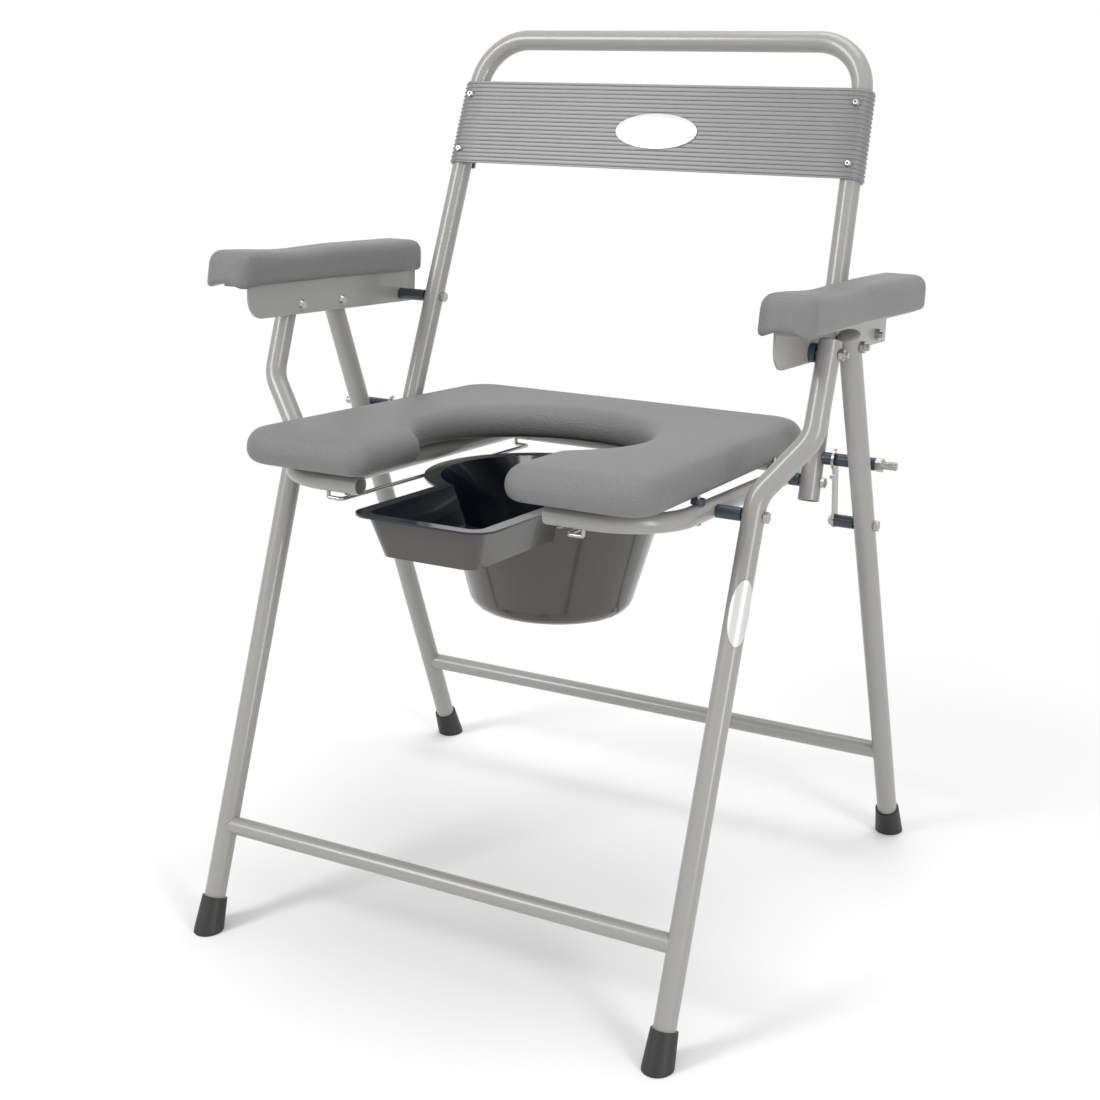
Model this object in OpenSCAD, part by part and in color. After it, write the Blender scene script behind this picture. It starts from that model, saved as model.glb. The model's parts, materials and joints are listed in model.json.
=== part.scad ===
// Folding commode chair: bent steel tube frame on a parallelogram linkage, moulded pads and a slide-out pail.
// Millimetres. +X is the sitter's left hand side of the chair, the chair faces -Y, +Z is up.
// Side-view points are [y, z] pairs counted from the rear foot on the floor.

/* [Frame tubes] */
// Outside diameter of the leg and backrest tubes
tube_d = 22; // [20:0.5:25]
// Outside diameter of the crossbars and the seat frame tube
bar_d = 19; // [16:0.5:20]
// Wall of every tube
tube_wall = 1.2; // [1:0.1:2]
// Distance on the floor between the front and the rear feet
stance = 548; // [520:1:580]
// Height of the arm pivots
arm_pivot_z = 620; // [600:1:640]
// Height of the front seat pivots
seat_pivot_z = 475; // [460:1:480]
// Lean of the front legs and the backrest from the vertical
leg_lean = 22.5; // [21:0.1:24]
// Front pivot to back pivot, along the floor
link_reach = 190; // [180:1:200]
// Front pivot to back pivot, downwards
link_drop = 17; // [14:1:20]
// Front pivot to rear leg pivot on the arm
rear_pivot_gap = 74.3; // [72:0.1:80]
// Length of tube left above an arm pivot
leg_top = 12; // [9:0.5:14]
// Height of the front crossbar
front_bar_z = 104; // [80:1:160]
// Height of the rear crossbar
rear_bar_z = 117; // [80:1:160]

/* [Widths] */
// Half spacing of the front legs below the jog
front_leg_x = 262; // [256:1:266]
// Length of the spacers between the arm bracket and the front leg
arm_spacer = 6; // [4:0.5:10]
// Thickness of the washer between the arm bracket and the rear leg
washer_t = 1; // [0.8:0.1:2]
// Height at which the jog starts
jog_z = 492; // [490:1:496]
// Bend radius of the jog
jog_bend_r = 36; // [30:1:38]
// Half spacing of the rear legs
rear_leg_x = 302; // [301:0.5:304]
// Half spacing of the backrest tube at its lower ends
back_low_x = 248.6; // [247:0.1:249]
// How far each backrest tube leans inwards over its whole height
back_taper = 20; // [10:1:24]

/* [Backrest] */
// Tube below the seat pivot
back_tail = 20; // [16:1:30]
// Seat pivot to the corner of the top bar, along the tube
back_rise = 461; // [440:1:480]
// Bend radius of the top corners
top_bend_r = 56; // [40:1:60]
// Height of the back strap, along the tube
strap_h = 94; // [80:1:110]
// Seat pivot to the middle of the strap, along the tube
strap_at = 360; // [345:1:370]
// Thickness of the strap without its ribs
strap_t = 2.4; // [2:0.1:3]
// Number of ribs across the strap
rib_count = 20; // [14:1:22]
// Height of a rib
rib_h = 1.1; // [0.6:0.1:1.6]
// Length of the tails behind the tubes
strap_tail = 9; // [8:1:30]

/* [Armrests] */
// Thickness of the arm bracket plate
plate_t = 2.5; // [2:0.1:2.8]
// Bracket plate in front of the front pivot
plate_front = 91; // [80:1:100]
// Bracket plate behind the back pivot
plate_rear = 30; // [20:1:36]
// Bracket plate below the pivots
plate_below = 9.5; // [8:0.5:12]
// Pivots to the underside of the arm pad
pad_above = 26; // [24:0.5:30]
// Width of the bracket flange under the pad
flange_w = 32; // [26:1:38]
// Radius of the front lower corner of the plate
plate_corner_r = 22; // [16:1:24]
// Length of the arm pad
arm_pad_l = 342; // [320:1:350]
// Width of the arm pad
arm_pad_w = 54; // [48:1:60]
// Thickness of the arm pad
arm_pad_t = 35; // [28:1:40]
// How far the arm pad reaches past the front of the plate
arm_pad_nose = 26; // [18:1:32]
// Waist of the arm pad on each side
arm_pad_waist = 3; // [1:0.5:5]

/* [Seat] */
// Half spacing of the seat side tubes
seat_side_x = 216; // [212:1:217]
// Front pivot to the front tube of the seat
seat_front = 108; // [100:1:116]
// Back pivot to the rear tube of the seat
seat_rear = 72; // [64:1:80]
// Half width of the gap between the open front ends
seat_gap = 103; // [96:1:110]
// Bend radius of the front corners
seat_front_r = 70; // [50:1:80]
// Bend radius of the rear corners
seat_rear_r = 50; // [40:1:60]
// Half spacing of the two inner tubes
inner_tube_x = 146; // [144:0.5:152]
// Thickness of the seat pad
seat_pad_t = 37; // [30:1:44]
// Rounding of the seat pad's upper edge
seat_pad_edge_r = 17; // [12:1:20]
// Rounding of the seat pad's lower edge
seat_pad_under_r = 13; // [8:1:16]
// Height of the rubber spacers between tube and pad
spacer_h = 5; // [4:0.5:8]
// Distance of the front pad screws from the frame tube's open ends and corners
screw_inset = 14; // [10:1:20]
// Distance of the rear pad screws ahead of the rear seat pivots
rear_screw_ahead = 24; // [18:1:40]
// Half width of the pad at the front
seat_pad_front_x = 225; // [218:1:228]
// Half width of the pad at the rear
seat_pad_rear_x = 214; // [206:1:220]
// Overhang of the pad in front of the front tube
seat_pad_nose = 44; // [36:1:52]
// Overhang of the pad behind the rear tube
seat_pad_back = 26; // [20:1:34]
// Radius of the hole in the pad
hole_r = 118; // [108:1:124]
// Front pivot to the middle of the hole
hole_at = 47; // [40:1:56]
// Half width of the opening at the front of the pad
slot_x = 73; // [66:1:80]

/* [Pail] */
// Radius of the bowl wall at the rim
bowl_r = 122; // [116:1:124]
// Width of the rim flange around the bowl
rim_w = 15; // [13:0.5:18]
// Radius of the bowl at its floor
bowl_floor_r = 83; // [70:1:90]
// Depth of the bowl
bowl_depth = 141; // [120:1:160]
// Rounding where the bowl's floor meets its side
bowl_edge_r = 22; // [8:1:30]
// Wall of the pail
pail_wall = 2.2; // [1.8:0.1:3]
// Front pivot to the middle of the bowl
bowl_at = 99; // [90:1:106]
// Half width of the trough inside its flange
trough_x = 64; // [56:1:68]
// Middle of the bowl to the front wall of the trough
trough_reach = 262; // [250:1:280]
// Depth of the trough
trough_depth = 42; // [40:1:64]
// How far the trough walls draw in towards the floor
trough_draft = 12; // [8:1:26]
// Width of the flange around the trough
trough_rim = 11; // [8:0.5:14]
// Radius of the trough's front corners
trough_corner_r = 14; // [8:1:20]
// Diameter of the rail wires
wire_d = 4; // [3:0.5:5]

/* [Joints and locks] */
// Diameter of the pivot bolts
bolt_d = 6; // [5:0.5:6]
// Diameter of the lock rods
rod_d = 8; // [6:0.5:8]
// Outside diameter of the plastic sleeves
sleeve_d = 13; // [12:0.5:14]
// Arm pivot of the rear leg to the hook stud, along the leg
stud_at = 210; // [205:1:215]
// Width of the lock hook bar
hook_w = 12; // [10:0.5:14]
// Thickness of the lock hook
hook_t = 2.5; // [2:0.1:3]
// Plane in which the hook swings
hook_x = 270; // [269:0.5:271]
// Length of a lock rod beyond the rear leg
rod_end = 21; // [16:1:26]
// Play between a bolt and the hole it turns in
play = 0.1; // [0.05:0.01:0.1]
// Gap between pieces that lie side by side
seat_clearance = 0.15; // [0.1:0.05:0.3]

/* [Feet] */
// Diameter of a foot at the floor
foot_d = 31; // [29:0.5:34]
// Diameter of a foot at its mouth
foot_mouth_d = 26.5; // [26:0.5:29]
// Height of a foot along the leg
foot_h = 35; // [30:1:42]
// Rubber under the end of the tube
foot_sole = 9; // [8:0.5:12]

/* [Hidden] */
$fn = 48;

paint = [0.68, 0.67, 0.65];
pad_grey = [0.55, 0.55, 0.55];
sleeve_blue = [0.16, 0.18, 0.22];
zinc = [0.78, 0.78, 0.76];
rubber_black = [0.1, 0.1, 0.1];
pail_black = [0.07, 0.08, 0.1];

tube_r = tube_d / 2;
bar_r = bar_d / 2;
sleeve_r = sleeve_d / 2;
bolt_r = bolt_d / 2;
running_r = bolt_r + play;
slip = 0.05;          // radial slip of a bolt in a piece that it is fixed to
through = 1;          // how far a cutting shape runs past the face it cuts

// Hexagon sizes and head heights of the fasteners
bolt_hex_r = bolt_d * 0.96;
bolt_head_h = bolt_d * 0.68;
rod_hex_r = rod_d * 0.94;
rod_nut_h = rod_d * 0.85;

// Side view of the linkage: every pivot as [y, z]
function unit(v) = v / norm(v);
function along(p, v, d) = p + unit(v) * d;
function normal(v) = [-v[1], v[0]];
leg_dir = [sin(leg_lean), cos(leg_lean)];
front_foot = [-stance, 0];
rear_foot = [0, 0];
link = [link_reach, -link_drop];
link_l = norm(link);
link_tilt = atan2(link_drop, link_reach);
arm_front = front_foot + leg_dir * (arm_pivot_z / leg_dir[1]);
seat_front_pivot = front_foot + leg_dir * (seat_pivot_z / leg_dir[1]);
arm_back = arm_front + link;
seat_back_pivot = seat_front_pivot + link;
arm_rear = along(arm_front, link, rear_pivot_gap);
rear_dir = unit(arm_rear - rear_foot);
rear_lean = atan2(-rear_dir[0], rear_dir[1]);

// The lock rod stands on the backrest tube and rests against the back of the rear leg
rod_reach = tube_r + sleeve_r + 2 * seat_clearance;
rear_side = -normal(rear_dir);
function cross2(a, b) = a[0] * b[1] - a[1] * b[0];
rod_from_pivot = cross2(rear_foot + rear_side * rod_reach - seat_back_pivot, rear_dir) / cross2(leg_dir, rear_dir);
rod = seat_back_pivot + leg_dir * rod_from_pivot;
stud = arm_rear - rear_dir * stud_at;
hook_l = norm(rod - stud);
hook_lean = atan2((rod - stud)[0], (rod - stud)[1]);

// Centre line of a backrest tube: x at a distance s up from the seat pivot
function back_x(s) = back_low_x - back_taper * (s + back_tail) / (back_rise + back_tail);
back_side_lean = atan(back_taper / (back_rise + back_tail));
back_side = tube_r / cos(back_side_lean);
back_pivot_s = norm(arm_back - seat_back_pivot);

// Faces that pieces stack against along each bolt
plate_out = rear_leg_x - tube_r - washer_t;
plate_x = plate_out - plate_t;                                // inner face of the bracket plate
front_leg_top_x = plate_out + arm_spacer + tube_r;
leg_jog = front_leg_top_x - front_leg_x;
foot_front_y = front_foot[0] - foot_d / 2 / cos(leg_lean);
top_bar_y = (seat_back_pivot + leg_dir * back_rise)[0] + tube_r;
mid_y = (foot_front_y + top_bar_y) / 2;

// Seat pieces are drawn flat, as [x, distance behind the front pivot], then tilted with the link
pad_low = bar_r + spacer_h;
seat_back_at = link_l + seat_rear;
rim_top = -bar_r - 2;
rail_x = bowl_r + wire_d / 2 + 1;
rail_q = rim_top - pail_wall - wire_d / 2 - 2 * seat_clearance;
rail_foot_x = bowl_r + rim_w + wire_d / 2 + 2;
spacer_places = [[seat_gap + screw_inset, -seat_front],
                 [seat_side_x, seat_front_r - seat_front + screw_inset],
                 [seat_side_x, link_l - rear_screw_ahead]];
screw_places = [strap_h * 0.34, -strap_h * 0.34];

// ---- placing helpers ----

module place(p = [0, 0]) translate([0, p[0] - mid_y, p[1]]) children();

module both() {
    children();
    mirror([1, 0, 0]) children();
}

module left() mirror([1, 0, 0]) children();

// Upright things along a leg: z up the leg, from a point [y, z], leaning by an angle (forwards is positive)
module leaning(p, lean) place(p) rotate([lean, 0, 0]) children();

// Things drawn in a tube's own plane: x across the chair, y up along the tube
module in_leaning_plane(p, lean) leaning(p, lean) rotate([90, 0, 0]) children();

// Seat and arm pieces: y runs back along the link and z is square to it
module on_link(p) place(p) rotate([-link_tilt, 0, 0]) children();

// A pin, sleeve or hole across the chair from x0 to x1
module across(x0, x1, r, fn = 48) translate([x0, 0, 0]) rotate([0, 90, 0]) cylinder(h = x1 - x0, r = r, $fn = fn);

module sleeve(x0, x1, r, hole) difference() {
    across(x0, x1, r);
    across(x0 - through, x1 + through, hole);
}

module nut(x0, x1, r, hole) difference() {
    across(x0, x1, r, 6);
    across(x0 - through, x1 + through, hole);
}

// ---- bent tube ----

// How much of a straight each bend takes up
function trim(bend) = bend[1] * tan(abs(bend[0]) / 2);

// The quarter or less of a ring that turns left by an angle, or right where it is below zero
module bend(turn, r, d) intersection() {
    reach = 2 * (r + d);
    rotate([0, 0, -90]) rotate_extrude() translate([r, 0]) circle(d = d);
    translate([-reach, 0, -d]) cube([2 * reach, reach, 2 * d]);
    rotate([0, 0, turn]) translate([-reach, -reach, -d]) cube([2 * reach, reach, 2 * d]);
}

// A bend is this much fatter than its straights, which keeps their round faces apart
bend_swell = 0.1;

// A solid bar of diameter d that sets off along +Y: straight runs with a bend [left turn, radius] between them
module bent_bar(runs, bends, d, i = 0) {
    rotate([-90, 0, 0]) cylinder(h = runs[i], d = d);
    if (i < len(bends)) translate([-sign(bends[i][0]) * bends[i][1], runs[i], 0]) {
        bend(bends[i][0], bends[i][1], d + bend_swell);
        rotate([0, 0, bends[i][0]]) translate([sign(bends[i][0]) * bends[i][1], 0, 0])
            bent_bar(runs, bends, d, i + 1);
    }
}

function longer(runs) = [for (i = [0:len(runs) - 1]) runs[i] + (i == 0 || i == len(runs) - 1 ? through : 0)];

module bent_tube(runs, bends, d) difference() {
    bent_bar(runs, bends, d);
    translate([0, -through, 0]) bent_bar(longer(runs), bends, d - 2 * tube_wall);
}

module straight_tube(l, d) difference() {
    cylinder(h = l, d = d);
    translate([0, 0, -through]) cylinder(h = l + 2 * through, d = d - 2 * tube_wall);
}

// ---- padded shapes ----

// An outline is a list of arcs [centre, radius, start angle, end angle], run with the pad on the left.
// A falling angle is a hollow corner, which grows when the outline is drawn inwards.
arc_steps = 6;
function arc_n(a) = ceil(arc_steps * max(1, abs(a[3] - a[2]) / 90));
function arc_points(a, inset) =
    let (r = a[3] > a[2] ? a[1] - inset : a[1] + inset, n = arc_n(a))
    [for (i = [0:n]) a[0] + r * [cos(a[2] + (a[3] - a[2]) * i / n), sin(a[2] + (a[3] - a[2]) * i / n)]];
function outline(arcs, inset) = [for (a = arcs) each arc_points(a, inset)];

// Places of an arc's points in the outline
function first(arcs, k) = k == 0 ? 0 : first(arcs, k - 1) + arc_n(arcs[k - 1]) + 1;
function last(arcs, k) = first(arcs, k + 1) - 1;
function all_of(arcs, k) = [for (i = [first(arcs, k):last(arcs, k)]) i];
function fan(apex, a, b) = [for (i = [a:b - 1]) [apex, i, i + 1]];
function backwards(list) = [for (i = [len(list) - 1:-1:0]) list[i]];

// A pad of thickness t on the plane z = 0, with rounded lower and upper edges.
// The flat faces are split as in cap, which is only needed where the outline has a hollow.
module pad(arcs, t, low_r, top_r, steps = 4, cap = []) {
    rings = [
        for (i = [0:steps]) [low_r * (1 - sin(90 * i / steps)), low_r * (1 - cos(90 * i / steps))],
        for (i = [0:steps]) [top_r * (1 - cos(90 * i / steps)), t - top_r * (1 - sin(90 * i / steps))]
    ];
    n = len(outline(arcs, 0));
    flats = len(cap) > 0 ? cap : [[for (i = [0:n - 1]) i]];
    top = (len(rings) - 1) * n;
    polyhedron(
        points = [for (ring = rings) for (p = outline(arcs, ring[0])) [p[0], p[1], ring[1]]],
        faces = [
            each flats,
            for (j = [0:len(rings) - 2]) for (i = [0:n - 1])
                [j * n + i, (j + 1) * n + i, (j + 1) * n + (i + 1) % n, j * n + (i + 1) % n],
            for (flat = flats) [for (i = backwards(flat)) top + i]
        ]
    );
}

// ---- front frame ----

leg_tube_start = foot_sole / leg_dir[1] + 4;
front_leg_l = arm_pivot_z / leg_dir[1] + leg_top;
jog_s = jog_z / leg_dir[1];
jog_turn = 36.87;
jog_bend = [jog_turn, jog_bend_r];
jog_run = leg_jog / sin(jog_turn) - 2 * trim(jog_bend);
jog_top_s = jog_s + leg_jog / tan(jog_turn);

module front_leg() color(paint) difference() {
    in_leaning_plane(front_foot, -leg_lean) translate([front_leg_x, leg_tube_start, 0])
        bent_tube([jog_s - trim(jog_bend) - leg_tube_start, jog_run, front_leg_l - jog_top_s - trim(jog_bend)],
                  [[-jog_turn, jog_bend_r], [jog_turn, jog_bend_r]], tube_d);
    place(arm_front) across(front_leg_x, front_leg_top_x + tube_d, running_r);
    place(seat_front_pivot) across(front_leg_x - tube_d, front_leg_x + tube_d, running_r);
}

module front_leg_left() left() front_leg();
module front_leg_right() front_leg();

module crossbar(x, p, lean) color(paint) difference() {
    leaning(p, lean) difference() {
        across(-x, x, bar_r);
        across(-x - through, x + through, bar_r - tube_wall);
    }
    both() leaning(p, lean) translate([x, 0, -2 * tube_d]) cylinder(h = 4 * tube_d, r = tube_r);
}

module front_crossbar() crossbar(front_leg_x, front_foot + leg_dir * (front_bar_z / leg_dir[1]), -leg_lean);

module foot(x, p, lean) color(rubber_black) difference() {
    leaning(p, lean) translate([x, 0, -foot_d]) difference() {
        union() {
            cylinder(h = foot_d, d = foot_d);
            translate([0, 0, foot_d]) cylinder(h = foot_h, d1 = foot_d, d2 = foot_mouth_d);
        }
        translate([0, 0, foot_d + leg_tube_start]) cylinder(h = foot_h, r = tube_r + slip);
    }
    place(p) translate([x - foot_d, -2 * foot_d, -3 * foot_d]) cube([2 * foot_d, 4 * foot_d, 3 * foot_d]);
}

module front_foot_left() left() foot(front_leg_x, front_foot, -leg_lean);
module front_foot_right() foot(front_leg_x, front_foot, -leg_lean);

// ---- rear frame ----

rear_leg_l = norm(arm_rear - rear_foot) + leg_top;

module rear_leg() color(paint) difference() {
    leaning(rear_foot, rear_lean) translate([rear_leg_x, 0, leg_tube_start])
        straight_tube(rear_leg_l - leg_tube_start, tube_d);
    place(arm_rear) across(rear_leg_x - tube_d, rear_leg_x + tube_d, running_r);
    place(stud) across(rear_leg_x - tube_d, rear_leg_x + tube_d, bolt_r + slip);
}

module rear_leg_left() left() rear_leg();
module rear_leg_right() rear_leg();
module rear_crossbar() crossbar(rear_leg_x, rear_foot + rear_dir * (rear_bar_z / rear_dir[1]), rear_lean);
module rear_foot_left() left() foot(rear_leg_x, rear_foot, rear_lean);
module rear_foot_right() foot(rear_leg_x, rear_foot, rear_lean);

// ---- backrest ----

back_bend = [back_side_lean - 90, top_bend_r];
back_run = (back_rise + back_tail) / cos(back_side_lean) - trim(back_bend);

module backrest_tube() color(paint) difference() {
    on_backrest() translate([-back_x(-back_tail), -back_tail, 0]) rotate([0, 0, -back_side_lean])
        bent_tube([back_run, 2 * (back_x(back_rise) - trim(back_bend)), back_run], [back_bend, back_bend], tube_d);
    both() {
        place(seat_back_pivot) across(back_x(0) - tube_d, back_x(0) + tube_d, running_r);
        place(rod) across(back_x(0) - tube_d, back_x(0) + tube_d, rod_d / 2 + slip);
        place(arm_back) across(back_x(back_pivot_s) - tube_d, back_x(back_pivot_s) + tube_d, running_r);
        strap_screw_places() cylinder(h = tube_d, r = screw_r + slip);
    }
}

screw_r = 2;
strap_in = tube_r + 2 * seat_clearance;       // tube axis to the inner face of the strap
strap_out = strap_in + strap_t;
wrap_in = strap_in + 0.05;                    // the wraps stand a hair proud of the flat band
wrap_out = wrap_in + strap_t;
strap_x = back_x(strap_at);

// Section of the strap: a flat band with a row of ribs on its outer side
rib_pitch = strap_h / rib_count;
module strap_section() polygon([
    [0, strap_h], [0, 0], [strap_t, 0],
    for (i = [0:rib_count - 1]) each [for (rib = [[0.2, 0], [0.35, rib_h], [0.65, rib_h], [0.8, 0]])
        [strap_t + rib[1], (i + rib[0]) * rib_pitch]],
    [strap_t, strap_h]
]);

// Strap pieces in the backrest's plane: x across, y up the tube, z forwards
module on_backrest() in_leaning_plane(seat_back_pivot, -leg_lean) children();

// Round each tube, with x outwards, y up the tube and z forwards
module on_strap_tube() translate([strap_x, strap_at, 0]) rotate([0, 0, back_side_lean]) children();

module strap_wrap() translate([0, -strap_h / 2, 0]) {
    intersection() {
        rotate([-90, 0, 0]) difference() {
            cylinder(h = strap_h, r = wrap_out);
            translate([0, 0, -through]) cylinder(h = strap_h + 2 * through, r = wrap_in);
        }
        translate([0, 0, -tube_d]) cube([tube_d, strap_h, 2 * tube_d]);
    }
    translate([-strap_tail, 0, -strap_out]) cube([strap_tail, strap_h, strap_t]);
}

module strap_band() difference() {
    translate([-strap_x - tube_r, strap_at - strap_h / 2, strap_in]) rotate([90, 0, 90])
        linear_extrude(height = 2 * (strap_x + tube_r)) mirror([1, -1, 0]) strap_section();
    both() on_strap_tube() translate([0, -strap_h, 0]) cube([2 * tube_d, 2 * strap_h, tube_d]);
}

module back_strap() color(pad_grey) difference() {
    on_backrest() {
        strap_band();
        both() on_strap_tube() strap_wrap();
    }
    both() strap_screw_places() cylinder(h = 2 * tube_d, r = screw_r + slip);
}

module strap_screw_places() on_backrest() for (s = screw_places)
    translate([back_x(strap_at + s), strap_at + s, 0]) children();

module strap_screws() color(zinc) both() strap_screw_places() {
    translate([0, 0, tube_r - tube_wall - 3]) cylinder(h = strap_out - tube_r + tube_wall + 3 + rib_h, r = screw_r);
    translate([0, 0, strap_out + rib_h + seat_clearance]) cylinder(h = 2.2, r1 = 2 * screw_r, r2 = 1.3 * screw_r);
}

// ---- armrests ----

plate_back_at = link_l + plate_rear;

// Bracket plate seen from the side, with its lower front corner rounded
module plate_outline() translate([-plate_front, -plate_below]) difference() {
    square([plate_back_at + plate_front, pad_above + plate_below]);
    difference() {
        square(plate_corner_r);
        translate([plate_corner_r, plate_corner_r]) circle(r = plate_corner_r);
    }
}

module arm_bracket() color(paint) on_link(arm_front) difference() {
    union() {
        translate([plate_x, 0, 0]) rotate([90, 0, 90]) linear_extrude(height = plate_t) plate_outline();
        translate([plate_x, -plate_front, pad_above - plate_t]) cube([flange_w, plate_back_at + plate_front, plate_t]);
    }
    for (at = [0, rear_pivot_gap, link_l])
        translate([0, at, 0]) across(plate_x - through, plate_out + through, bolt_r + slip);
}

module arm_bracket_left() left() arm_bracket();
module arm_bracket_right() arm_bracket();

arm_pad_x = plate_x + flange_w / 2;
arm_pad_start = -plate_front - arm_pad_nose;
arm_pad_end = arm_pad_start + arm_pad_l;
arm_nose_r = 18;
arm_tail_r = 12;
waist_r = (pow(arm_pad_l / 3, 2) + pow(arm_pad_waist, 2)) / (2 * arm_pad_waist);
waist_turn = asin(arm_pad_l / 3 / waist_r);
waist_mid = (arm_pad_start + arm_pad_end) / 2;

// Arm pad outline: round nose corners, a shallow waist on each side and tighter tail corners
arm_pad_arcs = [
    [[-arm_pad_w / 2 + arm_nose_r, arm_pad_start + arm_nose_r], arm_nose_r, 180, 270],
    [[arm_pad_w / 2 - arm_nose_r, arm_pad_start + arm_nose_r], arm_nose_r, 270, 360],
    [[arm_pad_w / 2 - arm_pad_waist + waist_r, waist_mid], waist_r, 180 + waist_turn, 180 - waist_turn],
    [[arm_pad_w / 2 - arm_tail_r, arm_pad_end - arm_tail_r], arm_tail_r, 0, 90],
    [[-arm_pad_w / 2 + arm_tail_r, arm_pad_end - arm_tail_r], arm_tail_r, 90, 180],
    [[-arm_pad_w / 2 + arm_pad_waist - waist_r, waist_mid], waist_r, waist_turn, -waist_turn]
];

module arm_pad() color(pad_grey) on_link(arm_front)
    translate([arm_pad_x, 0, pad_above + seat_clearance]) pad(arm_pad_arcs, arm_pad_t, 4, 11);

module arm_pad_left() left() arm_pad();
module arm_pad_right() arm_pad();

// ---- arm pivots ----

head_gap = seat_clearance;
back_gap = head_gap + rod_d * tan(back_side_lean);  // flat faces clear the leaning tube
front_leg_out = front_leg_top_x + tube_r + head_gap;
rear_leg_out = rear_leg_x + tube_r + head_gap;

// A screw with a domed head inside the plate and its end past the nut
module plate_screw(end) {
    across(plate_x - head_gap, end + bolt_head_h + 4, bolt_r);
    translate([plate_x - head_gap, 0, 0]) rotate([0, -90, 0]) cylinder(h = 2.6, r1 = bolt_d, r2 = 0.7 * bolt_d);
}

module arm_front_bolts() color(zinc) both() place(arm_front) plate_screw(front_leg_out);
module arm_rear_bolts() color(zinc) both() place(arm_rear) plate_screw(rear_leg_out);
module arm_front_nuts() color(zinc) both() place(arm_front)
    nut(front_leg_out, front_leg_out + bolt_head_h, bolt_hex_r, bolt_r + slip);
module arm_rear_nuts() color(zinc) both() place(arm_rear)
    nut(rear_leg_out, rear_leg_out + bolt_head_h, bolt_hex_r, bolt_r + slip);
module arm_front_washers() color(sleeve_blue) both() place(arm_front)
    sleeve(plate_out + head_gap, front_leg_top_x - tube_r - head_gap, 9, bolt_r + slip);
module arm_rear_washers() color(sleeve_blue) both() place(arm_rear)
    sleeve(plate_out + head_gap, rear_leg_x - tube_r - head_gap, 9, bolt_r + slip);

back_pivot_in = back_x(back_pivot_s) - back_side - back_gap;
back_pivot_out = back_x(back_pivot_s) + back_side + back_gap;

module back_pivot_bolts() color(zinc) both() place(arm_back) {
    across(back_pivot_in, plate_out + head_gap + bolt_head_h + 3, bolt_r);
    across(back_pivot_in - bolt_head_h, back_pivot_in, bolt_hex_r, 6);
}
module back_pivot_sleeves() color(sleeve_blue) both() place(arm_back)
    sleeve(back_pivot_out, plate_x - head_gap, sleeve_r, bolt_r + slip);
module back_pivot_nuts() color(zinc) both() place(arm_back)
    nut(plate_out + head_gap, plate_out + head_gap + bolt_head_h, bolt_hex_r, bolt_r + slip);

// ---- seat frame ----

seat_runs = [
    seat_side_x - seat_gap - seat_front_r, seat_front + seat_back_at - seat_front_r - seat_rear_r,
    2 * (seat_side_x - seat_rear_r), seat_front + seat_back_at - seat_front_r - seat_rear_r,
    seat_side_x - seat_gap - seat_front_r
];
seat_bends = [[90, seat_front_r], [90, seat_rear_r], [90, seat_rear_r], [90, seat_front_r]];

module seat_frame_tube() color(paint) difference() {
    on_link(seat_front_pivot) translate([seat_gap, -seat_front, 0]) rotate([0, 0, -90])
        bent_tube(seat_runs, seat_bends, bar_d);
    both() {
        place(seat_front_pivot) across(seat_side_x - bar_d, seat_side_x + bar_d, bolt_r + slip);
        place(seat_back_pivot) across(seat_side_x - bar_d, seat_side_x + bar_d, running_r);
        on_link(seat_front_pivot) for (p = spacer_places)
            translate([p[0], p[1], -bar_d]) cylinder(h = 2 * bar_d, r = screw_r + slip);
    }
}

// How far the front corner bend has left the straight run at the inner tube's outer side
corner_run = max(0, inner_tube_x + bar_r + seat_front_r - seat_side_x);
corner_bow = seat_front_r - sqrt(pow(seat_front_r, 2) - pow(corner_run, 2)) + head_gap;

module seat_inner_tubes() color(paint) on_link(seat_front_pivot) both() difference() {
    translate([inner_tube_x, -seat_front, 0]) rotate([-90, 0, 0]) straight_tube(seat_front + seat_back_at, bar_d);
    translate([0, -seat_front, 0]) across(0, 2 * inner_tube_x, bar_r + corner_bow);
    translate([0, seat_back_at, 0]) across(0, 2 * inner_tube_x, bar_r);
}

// Wire rails: straight under the pail flange, turned outwards at both ends and up to the tubes
rail_turn = rail_foot_x - rail_x - wire_d;
rail_rise = -rail_q - bar_r - seat_clearance;

module pail_rails() color(zinc) on_link(seat_front_pivot) both() {
    translate([rail_foot_x, -seat_front, rail_q]) rotate([0, 0, 90])
        bent_bar([rail_turn, seat_front + seat_back_at - 2 * wire_d, rail_turn],
                 [[-90, wire_d], [-90, wire_d]], wire_d);
    for (at = [-seat_front, seat_back_at])
        translate([rail_foot_x, at, rail_q]) cylinder(h = rail_rise, d = wire_d);
}

module seat_fixing_places() on_link(seat_front_pivot) both() for (p = spacer_places)
    translate([p[0], p[1], 0]) children();

module pad_spacers() color(sleeve_blue) seat_fixing_places()
    translate([0, 0, bar_r + seat_clearance]) difference() {
        cylinder(h = spacer_h - seat_clearance, r = 7);
        translate([0, 0, -through]) cylinder(h = spacer_h + 2 * through, r = screw_r + slip);
    }

pad_screw_depth = 12;
screw_head_h = 1.3;                                           // low enough for the pail's rim to pass

module pad_screws() color(zinc) seat_fixing_places() {
    translate([0, 0, -bar_r - screw_head_h]) cylinder(h = pad_low + bar_r + pad_screw_depth, r = screw_r);
    translate([0, 0, -bar_r - seat_clearance - screw_head_h])
        cylinder(h = screw_head_h, r1 = 1.4 * screw_r, r2 = 2.1 * screw_r);
}

// ---- seat pad ----

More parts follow.
